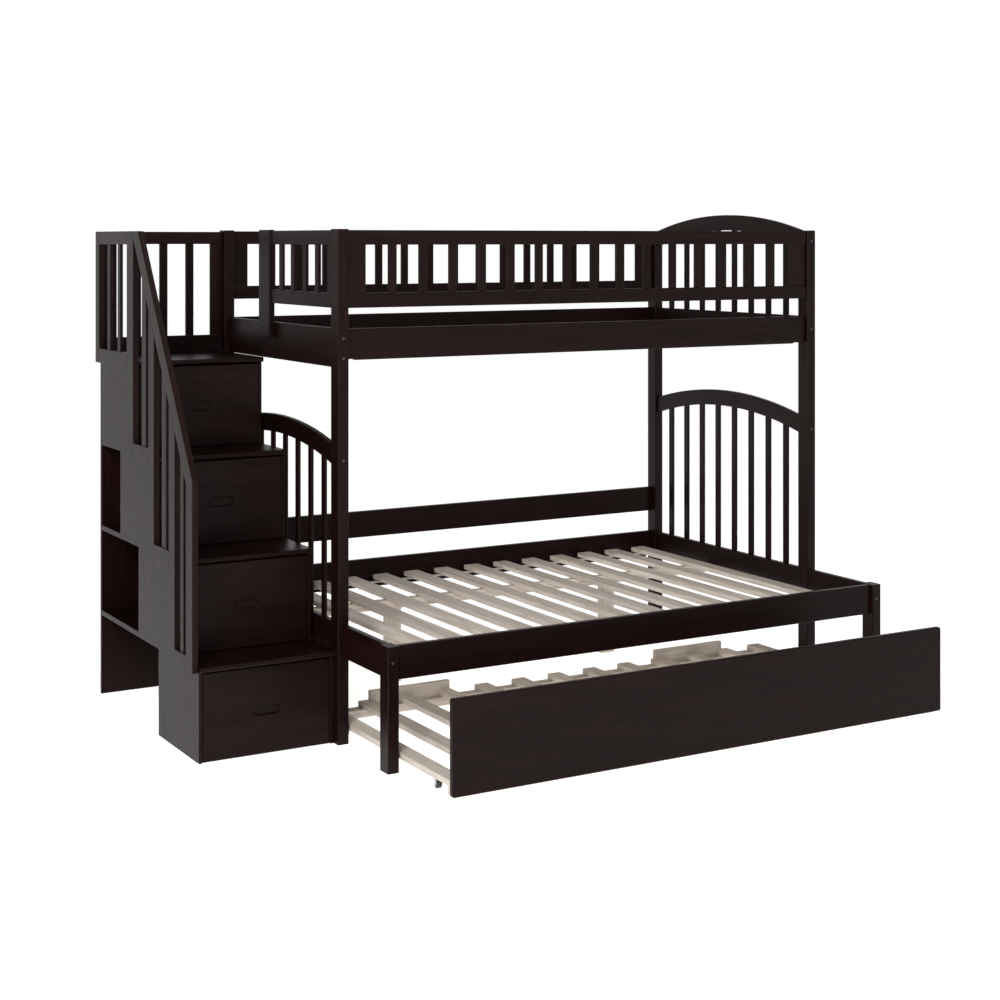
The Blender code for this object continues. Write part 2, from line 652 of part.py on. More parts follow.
def trundle_frame():
    """Two beams, the slats screwed on top, two short stops and the cheeks that hold the wheels."""
    middle = sum(TRUNDLE_X) / 2
    first = middle - TRUNDLE_SLAT_PITCH * (TRUNDLE_SLATS - 1) / 2
    front = TRUNDLE_FRONT + TRUNDLE_PANEL_THICK + GAP
    half = TRUNDLE_SLAT_WIDTH / 2
    x = (first - half + GLUE_BITE, 2 * middle - first + half - GLUE_BITE)
    name = "trundle_frame"
    pieces = []
    for start in (front, TRUNDLE_BACK - TRUNDLE_BEAM_WIDTH - GLUE_BITE):
        y = (start + GLUE_BITE, start + TRUNDLE_BEAM_WIDTH)
        pieces.append(board(name, x, y, TRUNDLE_BEAM, "pine_wood", ease=0))
    for number in range(TRUNDLE_SLATS):
        slat_x = centred(first + TRUNDLE_SLAT_PITCH * number, TRUNDLE_SLAT_WIDTH)
        pieces.append(board(name, slat_x, (front, TRUNDLE_BACK), TRUNDLE_SLAT, "pine_wood", ease=0))
    stop_y = (TRUNDLE_BACK - TRUNDLE_STOP_THICK - GLUE_BITE, TRUNDLE_BACK - GLUE_BITE)
    stop_z = (TRUNDLE_BEAM[1] - GLUE_BITE, TRUNDLE_STOP_TOP)
    far = (2 * middle - TRUNDLE_STOP[1], 2 * middle - TRUNDLE_STOP[0])
    for stop_x in (TRUNDLE_STOP, far):
        pieces.append(board(name, stop_x, stop_y, stop_z, "pine_wood", ease=0))
    cheek_z = (FORK[2], TRUNDLE_SLAT[0] + GLUE_BITE)
    cheek_offset = WHEEL_WIDTH / 2 + FORK_CLEARANCE + FORK[0] / 2
    for wheel_x in (first, 2 * middle - first):
        for wheel_y in WHEEL_Y:
            for cheek_x in (wheel_x - cheek_offset, wheel_x + cheek_offset):
                x = centred(cheek_x, FORK[0])
                pieces.append(board(name, x, centred(wheel_y, FORK[1]), cheek_z, "pine_wood", ease=0))
    glue(name, pieces)
    return first


def wheels(first):
    """Small wheels under the end slats, each turning on its own axis along X."""
    for side, x in (("left", first), ("right", sum(TRUNDLE_X) - first)):
        for place_name, y in (("front", WHEEL_Y[0]), ("back", WHEEL_Y[1])):
            shape = bmesh.new()
            bmesh.ops.create_cone(
                shape, cap_ends=True, segments=WHEEL_SEGMENTS,
                radius1=WHEEL_RADIUS, radius2=WHEEL_RADIUS, depth=WHEEL_WIDTH,
            )
            name = "trundle_wheel_%s_%s" % (place_name, side)
            mesh = bpy.data.meshes.new(name)
            shape.to_mesh(mesh)
            shape.free()
            mesh.shade_smooth()
            mesh.set_sharp_from_angle(angle=math.radians(40))
            wheel = place(name, mesh, Vector((x, y, WHEEL_RADIUS)), "caster_plastic")
            wheel.rotation_euler = (0.0, math.pi / 2, 0.0)


# ---------------------------------------------------------------- build
clear_scene()
frame = bpy.data.objects.new("bunk_bed", None)
bpy.context.scene.collection.objects.link(frame)
frame.location = ORIGIN_SHIFT

posts()
rails()
slats()
center_support()
arch_panels()
guards()
treads()
step_sides()
stepped_side()
stair_back()
stair_railing()
stair_back_guard()
drawers()
trundle_panel()
wheels(trundle_frame())
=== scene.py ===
"""Looks of the bunk bed: stained wood, bare pine slats, small black casters, light and camera."""

import math

import bmesh
import bpy
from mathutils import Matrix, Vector


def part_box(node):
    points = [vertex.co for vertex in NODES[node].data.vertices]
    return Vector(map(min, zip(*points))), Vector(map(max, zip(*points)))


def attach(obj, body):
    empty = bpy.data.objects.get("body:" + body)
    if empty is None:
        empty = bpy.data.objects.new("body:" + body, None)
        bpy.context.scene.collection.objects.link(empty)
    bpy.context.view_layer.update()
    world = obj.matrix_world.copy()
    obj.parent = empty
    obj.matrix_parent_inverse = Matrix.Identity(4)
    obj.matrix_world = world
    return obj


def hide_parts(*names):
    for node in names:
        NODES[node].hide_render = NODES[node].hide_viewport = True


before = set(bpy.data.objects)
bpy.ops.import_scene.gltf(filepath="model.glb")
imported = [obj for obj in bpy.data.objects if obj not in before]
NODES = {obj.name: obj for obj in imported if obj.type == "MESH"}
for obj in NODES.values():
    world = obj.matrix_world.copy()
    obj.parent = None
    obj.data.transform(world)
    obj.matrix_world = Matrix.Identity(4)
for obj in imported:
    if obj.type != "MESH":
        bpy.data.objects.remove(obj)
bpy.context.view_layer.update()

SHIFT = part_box("post_lower_front_left")[0]   # design origin: outer front corner of this post
BED_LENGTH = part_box("post_lower_front_right")[1].x - SHIFT.x
STEP_NUMBERS = range(1, 5)         # the four steps, each with its drawer
PARTITION_NUMBERS = range(1, 4)

GRAIN_AXES = ("x", "y", "z")
GRAIN_SHIFT = (3.17, 5.71, 7.39)   # how far a board's number moves its grain
BOARD_STEP = 0.37          # a board's number grows by this from board to board
NAME_STEP = 0.11           # and by this with each letter of its mesh's name
FRONT_STEP = 0.73          # the same from drawer front to drawer front
EDGE_GAIN = 4.0            # contrast of the painted highlight on the edges
SHARP_ANGLE = math.radians(50)     # edges sharper than this stay crisp in the shading
TURNED_SHARP_ANGLE = math.radians(40)
ROUNDED_ANGLE = math.radians(30)   # edges sharper than this are rounded
MOST_EASE = 0.35           # most that an edge's rounding may take of a board's thinnest side

EASE = 0.0030              # rounding of a planed board's edges
FINE_EASE = 0.0018         # rounding of thin spindles and slats
JOINT_EASE = 0.0009        # fine seam where two boards meet flush
BITE = 0.010               # how far a spindle is let into its rails
RAIL_HEIGHT = 0.050        # upper and lower rails of the guards
SPINDLE = (0.0311, 0.0111)
END_SLAT = (0.0304, 0.0094)
END_SLATS = 8
ARCH_RISE = 0.065
ARCH_DEPTH = 0.064
ARCH_STEPS = 40
GUARD_END_BOARD = 0.0684
GUARD_RIGHT_BOARD = 0.0804 # the board at the right end is a little wider
GUARD_SPINDLES = 15

GUARD_THICK = 0.020
ENTRY_STILE_X = (-0.0070, 0.0150)
ENTRY_STILE_Y = (0.5773, 0.6786)
ENTRY_LAP = 0.004          # how far the entry rails are let into the stile
ENTRY_FIRST = 0.5149       # back edge of the first entry spindle
ENTRY_PITCH = 0.1043
ENTRY_SPINDLES = 4

RAILING_POST = (0.6304, 0.7026)
RAILING_BACK_STILE = 0.044
RAILING_LEVEL_RAILS = ((1.2375, 1.2904), (1.6766, 1.7235))
RAILING_LEVEL_SPINDLES = 2
NEWEL = (0.0377, 0.0971)
SLOPE = 1.5
SLOPE_AT_NEWEL = 0.9140
SLOPE_RAIL_DEPTH = 0.1067
STILES = ((0.4110, 0.4664), (0.2040, 0.2611))
BALUSTERS = ((0.5075, 0.5515), (0.3010, 0.3450), (0.1323, 0.1634))
SECTION_RAILS = ((0.9146, 0.9780), (0.5858, 0.6560), (0.2920, 0.3400))

BACK_GUARD_LOW_TOP = 1.3273
BACK_GUARD_TOP_RAIL = 0.0469
BACK_GUARD_STILES = (0.060, 0.048)
BACK_GUARD_SPINDLES = 3
BACK_GUARD_FIRST = -0.1156
BACK_GUARD_PITCH = 0.1039

SLATS = 14
SLAT_WIDTH = 0.064
SLAT_PITCH = 0.1405
SLAT_THICK = 0.018
STRAP_WIDTH = 0.030
STRAP_INSET = 0.060        # from the slats' ends to the middle of a strap
STRAP_END_GAP = 0.004
STRAP_GAP = 0.0002         # air between a strap and the slats
STRAP_EASE = 0.0004

SUPPORT_BEAM_HEIGHT = 0.034
SUPPORT_LEG = (0.064, 0.027)
SUPPORT_LEG_OFFSETS = (-0.490, 0.490)
SUPPORT_LEG_LAP = 0.004    # how far a leg is let into the beam

TRUNDLE_SLATS = 13
TRUNDLE_SLAT_WIDTH = 0.055
TRUNDLE_SLAT_PITCH = 0.1574
TRUNDLE_SLAT = (0.0410, 0.0610)
TRUNDLE_BEAM = (0.0120, 0.0410)
TRUNDLE_BEAM_WIDTH = 0.045
TRUNDLE_STOP_THICK = 0.018
TRUNDLE_STOP = (0.2435, 0.5637)
TRUNDLE_INSET = 0.001      # beams and stops stay this far inside the slats' ends
PANEL_CORNER = 0.008
PANEL_CORNER_STEPS = 6

TYRE_BORE = 0.62           # shares of the wheel's radius
HUB_RINGS = (0.30, 0.36, 0.54, 0.60)
TYRE_SHOULDER = 0.0030
HUB_PROUD = 0.0004
HUB_DISH = 0.0012
HUB_RIM_PROUD = 0.0002
HUB_BORE = 0.0022
CHEEK_THICK = 0.0020
CHEEK_GAP = 0.0010
CHEEK_HALF_WIDTH = 0.0070
CHEEK_BOTTOM = 0.0100
CHEEK_EASE = 0.0008
PLATE_OVERHANG = 0.004
PLATE_HALF_WIDTH = 0.014
PLATE_THICK = 0.0016
PLATE_EASE = 0.0006
BRACKET_GAP = 0.0003       # air between a bracket's plate and the slats above it
RIVET_HEAD = ((0.0012, 0.0016), (0.0008, 0.0026), (0.0, 0.0028))   # (outside the cheek, radius)
RIVET_SHAFT = 0.0015

PULL_LENGTH = 0.092
PULL_HEIGHT = 0.032
PULL_DEPTH = 0.011
PULL_STEPS = 14
CUTTER_REACH = 0.005       # how far the cutter of a pull starts in front of the face
FRONT_EASE = 0.0020
CAP_RADIUS = 0.0050
CAP_HEIGHT = 0.0008
CAP_SUNK = 0.0012
CAP_ROOM = 0.0010          # the railing's outer face stands this far inside its box, for the caps
POST_BOLT_INSET = 0.0197
POST_BOLTS = {"left": (1.3618, 1.2947, 0.9515), "right": (1.6876, 1.3425, 0.9515)}
LEG_BOLT_INSET = 0.0175
LEG_BOLT_HEIGHT = 0.3504
RAILING_SCREWS = ((0.5606, 0.9370), (0.3527, 0.6115), (0.1852, 0.3080))
FLOOR_REACH = 40.0


# ---------------------------------------------------------------- materials
def new_material(name):
    material = bpy.data.materials.new(name)
    material.use_nodes = True
    tree = material.node_tree
    return material, tree, tree.nodes["Principled BSDF"]


def node(tree, kind, **values):
    made = tree.nodes.new(kind)
    for key, value in values.items():
        if key in made.inputs:
            made.inputs[key].default_value = value
        else:
            setattr(made, key, value)
    return made


def ramp(tree, factor, stops):
    made = tree.nodes.new("ShaderNodeValToRGB")
    elements = made.color_ramp.elements
    while len(elements) < len(stops):
        elements.new(0.5)
    for element, (place, colour) in zip(elements, stops):
        element.position = place
        element.color = (*colour, 1.0)
    tree.links.new(factor, made.inputs["Fac"])
    return made.outputs["Color"]


def math_node(tree, operation, first, second):
    made = tree.nodes.new("ShaderNodeMath")
    made.operation = operation
    for slot, value in zip(made.inputs, (first, second)):
        if isinstance(value, float):
            slot.default_value = value
        else:
            tree.links.new(value, slot)
    return made.outputs["Value"]


def mix_colour(tree, factor, first, second, blend="MIX"):
    made = tree.nodes.new("ShaderNodeMix")
    made.data_type = "RGBA"
    made.blend_type = blend
    for label, value in (("Factor", factor), ("A", first), ("B", second)):
        slot = next(s for s in made.inputs if s.name == label and s.enabled)
        if isinstance(value, float):
            slot.default_value = value
        elif isinstance(value, tuple):
            slot.default_value = (*value, 1.0)
        else:
            tree.links.new(value, slot)
    return next(s for s in made.outputs if s.enabled)


def grain_space(tree, axis, stretch):
    """Coordinates that stretch a pattern along the grain, each board on its own piece of timber."""
    position = tree.nodes.new("ShaderNodeTexCoord").outputs["Object"]
    board = node(tree, "ShaderNodeAttribute", attribute_name="board")
    shift = tree.nodes.new("ShaderNodeVectorMath")
    shift.operation = "MULTIPLY_ADD"
    tree.links.new(board.outputs["Fac"], shift.inputs[0])
    shift.inputs[1].default_value = GRAIN_SHIFT
    tree.links.new(position, shift.inputs[2])
    mapping = tree.nodes.new("ShaderNodeMapping")
    scale = [1.0, 1.0, 1.0]
    scale[GRAIN_AXES.index(axis)] = stretch
    mapping.inputs["Scale"].default_value = scale
    tree.links.new(shift.outputs["Vector"], mapping.inputs["Vector"])
    return mapping.outputs["Vector"], board.outputs["Fac"]


def noise(tree, vector, scale, detail, roughness, distortion=0.0):
    made = node(
        tree, "ShaderNodeTexNoise",
        Scale=scale, Detail=detail, Roughness=roughness, Distortion=distortion,
    )
    tree.links.new(vector, made.inputs["Vector"])
    return made.outputs["Fac"]


def rounded_normal(tree, radius):
    """A normal that turns softly round each edge."""
    return node(tree, "ShaderNodeBevel", samples=4, Radius=radius).outputs["Normal"]


def edge_mask(tree, rounded):
    """White where a sharp edge is near: the rounded normal leaves the true one there."""
    flat = tree.nodes.new("ShaderNodeNewGeometry")
    agree = tree.nodes.new("ShaderNodeVectorMath")
    agree.operation = "DOT_PRODUCT"
    tree.links.new(rounded, agree.inputs[0])
    tree.links.new(flat.outputs["Normal"], agree.inputs[1])
    away = math_node(tree, "SUBTRACT", 1.0, agree.outputs["Value"])
    return math_node(tree, "MULTIPLY", away, EDGE_GAIN)


def board_tint(tree, board, low, high):
    """One steady brightness for each board, a little different from its neighbours'."""
    draw = node(tree, "ShaderNodeTexWhiteNoise", noise_dimensions="1D")
    tree.links.new(board, draw.inputs["W"])
    return ramp(tree, draw.outputs["Value"], ((0.0, (low, low, low)), (1.0, (high, high, high))))


def stained_wood(axis):
    """Dark brown stain under satin lacquer: streaks, open pores and a painted highlight that lightens
    the edges.
    """
    material, tree, shader = new_material("espresso_wood_" + axis)
    vector, board = grain_space(tree, axis, stretch=0.06)
    streaks = noise(tree, vector, scale=55.0, detail=5.0, roughness=0.6, distortion=0.6)
    pores = noise(tree, vector, scale=420.0, detail=2.0, roughness=0.5)
    clouds = noise(tree, vector, scale=7.0, detail=3.0, roughness=0.5)
    colour = ramp(tree, streaks, (
        (0.25, (0.0044, 0.0013, 0.0012)),
        (0.50, (0.0074, 0.0024, 0.0021)),
        (0.75, (0.0118, 0.0042, 0.0035)),
    ))
    tint = ramp(tree, clouds, ((0.3, (0.80, 0.78, 0.78)), (0.7, (1.15, 1.08, 1.06))))
    colour = mix_colour(tree, 1.0, colour, tint, "MULTIPLY")
    tint = board_tint(tree, board, low=0.82, high=1.18)
    colour = mix_colour(tree, 1.0, colour, tint, "MULTIPLY")
    rounded = rounded_normal(tree, EASE)
    # painted highlight: near sharp edges the stain is mixed towards a lighter brown, as if the lacquer
    # caught the light there
    edge_highlight = math_node(tree, "MULTIPLY", edge_mask(tree, rounded), streaks)
    most_edge_highlight = 0.45
    edge_highlight = math_node(tree, "MINIMUM", edge_highlight, most_edge_highlight)
    # colour of the painted highlight on the edges
    highlight_colour = (0.030, 0.015, 0.011)
    colour = mix_colour(tree, edge_highlight, colour, highlight_colour)
    tree.links.new(colour, shader.inputs["Base Color"])
    rough = ramp(tree, pores, ((0.35, (0.42, 0.42, 0.42)), (0.65, (0.33, 0.33, 0.33))))
    tree.links.new(rough, shader.inputs["Roughness"])
    relief = math_node(tree, "ADD", math_node(tree, "MULTIPLY", streaks, 0.6), pores)
    bump = node(tree, "ShaderNodeBump", Strength=0.12, Distance=0.0006)
    tree.links.new(relief, bump.inputs["Height"])
    tree.links.new(rounded, bump.inputs["Normal"])
    tree.links.new(bump.outputs["Normal"], shader.inputs["Normal"])
    shader.inputs["Specular IOR Level"].default_value = 0.10
    return material


def bare_pine(axis):
    """Unfinished softwood: pale, long growth lines, a knot here and there, sanded edges."""
    material, tree, shader = new_material("pine_wood_" + axis)
    vector, board = grain_space(tree, axis, stretch=0.05)
    lines = noise(tree, vector, scale=60.0, detail=6.0, roughness=0.65, distortion=1.2)
    fibres = noise(tree, vector, scale=500.0, detail=2.0, roughness=0.5)
    clouds = noise(tree, vector, scale=5.0, detail=2.0, roughness=0.5)
    colour = ramp(tree, lines, (
        (0.22, (0.36, 0.290, 0.230)),
        (0.45, (0.60, 0.530, 0.465)),
        (0.68, (0.76, 0.705, 0.640)),
    ))
    tint = ramp(tree, clouds, ((0.3, (0.86, 0.84, 0.82)), (0.7, (1.0, 1.0, 1.0))))
    colour = mix_colour(tree, 1.0, colour, tint, "MULTIPLY")
    tint = board_tint(tree, board, low=0.80, high=1.06)
    colour = mix_colour(tree, 1.0, colour, tint, "MULTIPLY")
    knot_vector = grain_space(tree, axis, stretch=0.45)[0]
    knots = node(tree, "ShaderNodeTexVoronoi", Scale=5.5, Randomness=1.0)
    tree.links.new(knot_vector, knots.inputs["Vector"])
    knot_edge = ((0.045, (1.0, 1.0, 1.0)), (0.085, (0.0, 0.0, 0.0)))
    spot = ramp(tree, knots.outputs["Distance"], knot_edge)
    knot_brown = (0.20, 0.115, 0.060)
    colour = mix_colour(tree, spot, colour, knot_brown)
    tree.links.new(colour, shader.inputs["Base Color"])
    rough = ramp(tree, fibres, ((0.3, (0.72, 0.72, 0.72)), (0.7, (0.58, 0.58, 0.58))))
    tree.links.new(rough, shader.inputs["Roughness"])
    rounded = rounded_normal(tree, radius=0.0015)
    relief = math_node(tree, "ADD", lines, math_node(tree, "MULTIPLY", fibres, 0.5))
    bump = node(tree, "ShaderNodeBump", Strength=0.20, Distance=0.0008)
    tree.links.new(relief, bump.inputs["Height"])
    tree.links.new(rounded, bump.inputs["Normal"])
    tree.links.new(bump.outputs["Normal"], shader.inputs["Normal"])
    shader.inputs["Specular IOR Level"].default_value = 0.30
    return material


def speckled(name, dark, light, rough_range, metallic, scale, bump_distance):
    """Moulded or painted surface with a fine, uneven skin."""
    material, tree, shader = new_material(name)
    position = tree.nodes.new("ShaderNodeTexCoord").outputs["Object"]
    skin = noise(tree, position, scale, detail=4.0, roughness=0.6)
    colour = ramp(tree, skin, ((0.3, dark), (0.7, light)))
    tree.links.new(colour, shader.inputs["Base Color"])
    low, high = rough_range
    rough = ramp(tree, skin, ((0.3, (low, low, low)), (0.7, (high, high, high))))
    tree.links.new(rough, shader.inputs["Roughness"])
    bump = node(tree, "ShaderNodeBump", Strength=0.25, Distance=bump_distance)
    tree.links.new(skin, bump.inputs["Height"])
    tree.links.new(bump.outputs["Normal"], shader.inputs["Normal"])
    shader.inputs["Metallic"].default_value = metallic
    return material


ESPRESSO = {axis: stained_wood(axis) for axis in GRAIN_AXES}
PINE = {axis: bare_pine(axis) for axis in GRAIN_AXES}
TYRE = speckled(
    "caster_tyre", dark=(0.012, 0.012, 0.013), light=(0.022, 0.022, 0.023),
    rough_range=(0.45, 0.60), metallic=0.0, scale=900.0, bump_distance=0.0002,
)
ZINC = speckled(
    "caster_zinc", dark=(0.42, 0.42, 0.43), light=(0.60, 0.60, 0.60),
    rough_range=(0.30, 0.45), metallic=1.0, scale=500.0, bump_distance=0.0001,
)
CAP = speckled(
    "bolt_cap", dark=(0.020, 0.014, 0.012), light=(0.034, 0.024, 0.020),
    rough_range=(0.35, 0.50), metallic=0.0, scale=800.0, bump_distance=0.0001,
)
WEBBING = speckled(
    "slat_strap", dark=(0.55, 0.53, 0.50), light=(0.70, 0.68, 0.64),
    rough_range=(0.80, 0.92), metallic=0.0, scale=700.0, bump_distance=0.0003,
)


# ---------------------------------------------------------------- mesh building
def block(low, high):
    shape = bmesh.new()
    bmesh.ops.create_cube(shape, size=1.0)
    bmesh.ops.scale(shape, vec=high - low, verts=shape.verts)
    bmesh.ops.translate(shape, vec=(high + low) / 2, verts=shape.verts)
    return shape


def pushed_outline(points, push):
    """A flat outline pushed along a vector into a solid."""
    shape = bmesh.new()
    face = shape.faces.new([shape.verts.new(point) for point in points])
    pushed = bmesh.ops.extrude_face_region(shape, geom=[face])
    moved = [item for item in pushed["geom"] if isinstance(item, bmesh.types.BMVert)]
    bmesh.ops.translate(shape, vec=push, verts=moved)
    bmesh.ops.recalc_face_normals(shape, faces=shape.faces[:])
    return shape


def centred(middle, width):
    return (middle - width / 2, middle + width / 2)


class Pieces:
    """Collects boards into one mesh; each face keeps its board's number and its grain's material."""

    def __init__(self, name, woods):
        self.name = name
        self.woods = woods
        self.shape = bmesh.new()
        self.tag = self.shape.faces.layers.float.new("board")
        self.count = 0
        self.slots = []

    def take(self, part, axis, woods=None):
        """Add the bmesh part, all in one grain direction, and free it."""
        material = (woods or self.woods)[axis]
        if material not in self.slots:
            self.slots.append(material)
        index = self.slots.index(material)
        self.count += 1
        number = self.count * BOARD_STEP + len(self.name) * NAME_STEP
        known = {}
        for vert in part.verts:
            known[vert] = self.shape.verts.new(vert.co)
        for face in part.faces:
            made = self.shape.faces.new([known[vert] for vert in face.verts])
            made.material_index = index
            made.smooth = True
            made[self.tag] = number
        part.free()

    def board(self, low, high, axis, ease=EASE, woods=None):
        low = Vector(low)
        high = Vector(high)
        part = block(low, high)
        self.round_edges(part, min(ease, min(high - low) * MOST_EASE))
        self.take(part, axis, woods)

    def prism(self, outline, span, along, axis, ease=EASE):
        """An outline of (y, z) or (x, z) points pushed along X or Y, with its long edges rounded."""
        if along == "x":
            points = [(span[0], a, b) for a, b in outline]
            push = Vector((span[1] - span[0], 0.0, 0.0))
        else:
            points = [(a, span[0], b) for a, b in outline]
            push = Vector((0.0, span[1] - span[0], 0.0))
        part = pushed_outline(points, push)
        self.round_edges(part, ease)
        self.take(part, axis)

    @staticmethod
    def round_edges(part, ease):
        sharp = [edge for edge in part.edges if edge.calc_face_angle(0.0) > ROUNDED_ANGLE]
        if ease and sharp:
            bmesh.ops.bevel(
                part, geom=sharp, offset=ease, segments=2, profile=0.5,
                affect="EDGES", clamp_overlap=True,
            )

    def finish(self, body, replaces=()):
        mesh = bpy.data.meshes.new(self.name)
        self.shape.to_mesh(mesh)
        self.shape.free()
        for material in self.slots:
            mesh.materials.append(material)
        mesh.set_sharp_from_angle(angle=SHARP_ANGLE)
        thing = bpy.data.objects.new(self.name, mesh)
        bpy.context.scene.collection.objects.link(thing)
        weighted = thing.modifiers.new("even_shading", "WEIGHTED_NORMAL")
        weighted.keep_sharp = True
        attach(thing, body)
        if replaces:
            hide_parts(*replaces)


def spread(low, high, count, width):
    """Starts of count equal pieces with equal gaps between low and high."""
    gap = (high - low - count * width) / (count + 1)
    return [low + gap + number * (gap + width) for number in range(count)]


# ---------------------------------------------------------------- carried-over CAD boards
def dress(names, woods, axis):
    for name in names:
        thing = NODES[name]
        thing.data.materials.clear()
        thing.data.materials.append(woods[axis])


def dress_boards():
    corners = ("front_left", "front_right", "back_left", "back_right")
    upright = ["post_%s_%s" % (part, corner) for part in ("lower", "upper") for corner in corners]
    upright += ["short_leg_left", "short_leg_right", "stair_side_right", "stair_back_panel"]
    upright += ["step_side_%d" % number for number in STEP_NUMBERS]
    upright += ["step_partition_%d" % number for number in PARTITION_NUMBERS]
    dress(upright, ESPRESSO, "z")
    lengthwise = ["lower_front_rail", "lower_back_rail", "upper_front_rail", "upper_back_rail"]
    lengthwise += ["lower_back_board"]
    lengthwise += ["tread_%d" % number for number in STEP_NUMBERS]
    dress(lengthwise, ESPRESSO, "x")
    across = ["%s_%s" % (rail, side) for rail in ("lower_end_rail", "lower_side_rail", "upper_end_rail")
              for side in ("left", "right")]
    dress(across, ESPRESSO, "y")
    dress(["drawer_box_%d" % number for number in STEP_NUMBERS], PINE, "y")


# ---------------------------------------------------------------- guards and arches
def long_guard(name):
    low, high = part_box(name)
    made = Pieces(name + "_boards", ESPRESSO)
    top_start = high.z - RAIL_HEIGHT
    made.board((low.x, low.y, low.z), (high.x, high.y, low.z + RAIL_HEIGHT), "x")
    made.board((low.x, low.y, top_start), high, "x")
    thin = centred((low.y + high.y) / 2, SPINDLE[1])
    z = (low.z + RAIL_HEIGHT - BITE, top_start + BITE)
    for start, stop in ((low.x, low.x + GUARD_END_BOARD), (high.x - GUARD_RIGHT_BOARD, high.x)):
        made.board((start, thin[0], z[0]), (stop, thin[1], z[1]), "z", FINE_EASE)
    # the spindles are spread as if both end boards had the left one's width
    inner = (low.x + GUARD_END_BOARD, high.x - GUARD_END_BOARD)
    for start in spread(*inner, GUARD_SPINDLES, SPINDLE[0]):
        made.board((start, thin[0], z[0]), (start + SPINDLE[0], thin[1], z[1]), "z", FINE_EASE)
    made.finish("bed", [name])


def arc(radius, centre_z, half, middle):
    reach = math.asin(half / radius)
    points = []
    for step in range(ARCH_STEPS + 1):
        angle = reach * (2 * step / ARCH_STEPS - 1)
        points.append((middle + radius * math.sin(angle), centre_z + radius * math.cos(angle)))
    return points


def arch_panel(name):
    low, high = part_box(name)
    middle = (low.y + high.y) / 2
    half = (high.y - low.y) / 2
    radius = (half ** 2 + ARCH_RISE ** 2) / (2 * ARCH_RISE)
    centre_z = high.z - radius
    inner = radius - ARCH_DEPTH
    outline = arc(radius, centre_z, half, middle) + arc(inner, centre_z, half, middle)[::-1]
    made = Pieces(name + "_boards", ESPRESSO)
    made.prism(outline, (low.x, high.x), "x", "y", FINE_EASE)
    x = centred((low.x + high.x) / 2, END_SLAT[1])
    for start in spread(low.y, high.y, END_SLATS, END_SLAT[0]):
        offset = abs(start + END_SLAT[0] / 2 - middle)
        head = centre_z + math.sqrt(inner ** 2 - offset ** 2) + BITE
        made.board((x[0], start, low.z), (x[1], start + END_SLAT[0], head), "z", FINE_EASE)
    made.finish("bed", [name])


def placed(made, x, y, z, axis, ease=EASE):
    """A board over the design ranges x, y and z."""
    low = SHIFT + Vector((x[0], y[0], z[0]))
    high = SHIFT + Vector((x[1], y[1], z[1]))
    made.board(low, high, axis, ease)


def guard_levels():
    """Heights of the lower and the upper guard rail."""
    low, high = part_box("upper_guard_front")
    return (low.z, low.z + RAIL_HEIGHT), (high.z - RAIL_HEIGHT, high.z)


def entry_guard():
    low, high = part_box("entry_guard")
    lower, upper = guard_levels()
    made = Pieces("entry_guard_boards", ESPRESSO)
    placed(made, ENTRY_STILE_X, ENTRY_STILE_Y, (low.z, high.z), "z")
    start = low.y - SHIFT.y
    for z in (lower, upper):
        placed(made, (0.0, GUARD_THICK), (start, ENTRY_STILE_Y[0] + ENTRY_LAP), z, "y")
    thin = centred(GUARD_THICK / 2, SPINDLE[1])
    tall = (lower[1] - BITE, upper[0] + BITE)
    for number in range(ENTRY_SPINDLES):
        back = ENTRY_FIRST - number * ENTRY_PITCH
        placed(made, thin, (back - SPINDLE[0], back), tall, "z", FINE_EASE)
    placed(made, thin, (start, ENTRY_FIRST - ENTRY_SPINDLES * ENTRY_PITCH), tall, "z", FINE_EASE)
    made.finish("bed", ["entry_guard"])


def slope_top(y):
    return SLOPE_AT_NEWEL + SLOPE * (y - NEWEL[0])


